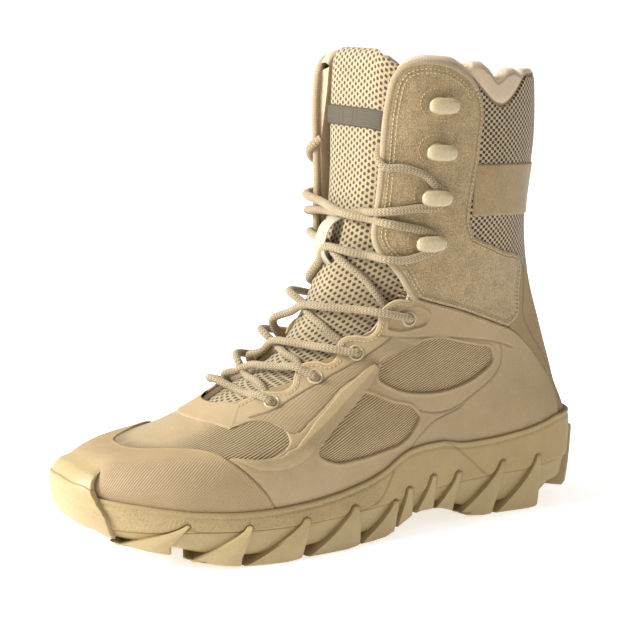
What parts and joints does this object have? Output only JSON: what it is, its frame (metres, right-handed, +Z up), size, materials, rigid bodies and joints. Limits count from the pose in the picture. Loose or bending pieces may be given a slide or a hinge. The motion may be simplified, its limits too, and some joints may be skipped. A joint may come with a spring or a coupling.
{
  "type": "safety boot",
  "caption": "Left 8-inch lace-up safety boot: hollow upper with open throat and collar, moulded side overlays, padded tongue, foam midsole and lugged rubber outsole with toe guard.",
  "frame": {"origin": "on the floor, under the middle of the heel, at the lowest face of the heel lugs", "axes": "+Z up out of the collar, -Y from heel to toe, +X to the outer (lateral) side of the foot"},
  "size_m": [0.1136, 0.3056, 0.2579],
  "materials": {
    "rubber": "matt tan rubber",
    "foam": "matt tan foam, smooth skin",
    "lining": "soft knit",
    "upper_fabric": "knit fabric, matt",
    "moulded": "moulded, low sheen",
    "suede": "suede, matt",
    "tongue_mesh": "open knit mesh",
    "webbing": "woven webbing",
    "hardware": "glossy tan plastic",
    "lace_cord": "round braid"
  },
  "bodies": {
    "root": {"outsole": "rubber", "midsole": "foam", "toe_guard": "rubber", "insole": "lining", "upper": "upper_fabric", "toe_cap": "moulded", "vamp_trim": "moulded", "cuff_strap": "suede", "cage_lateral": "moulded", "cage_medial": "moulded", "band_lateral": "moulded", "band_medial": "moulded", "shaft_panel_lateral": "suede", "shaft_panel_medial": "suede", "tongue": "tongue_mesh", "tongue_label": "webbing", "lace_keeper": "webbing", "hook_lateral_1": "hardware", "hook_lateral_2": "hardware", "hook_lateral_3": "hardware", "hook_lateral_4": "hardware", "hook_medial_1": "hardware", "hook_medial_2": "hardware", "hook_medial_3": "hardware", "hook_medial_4": "hardware", "eyelet_lateral_5": "hardware", "eyelet_lateral_6": "hardware", "eyelet_lateral_7": "hardware", "eyelet_lateral_8": "hardware", "eyelet_medial_5": "hardware", "eyelet_medial_6": "hardware", "eyelet_medial_7": "hardware", "eyelet_medial_8": "hardware", "lace_bar": "lace_cord", "lace_cross_1": "lace_cord", "lace_cross_2": "lace_cord", "lace_cross_3": "lace_cord", "lace_cross_4": "lace_cord", "lace_cross_5": "lace_cord", "lace_end_lateral": "lace_cord", "lace_end_medial": "lace_cord"}
  },
  "joints": []
}
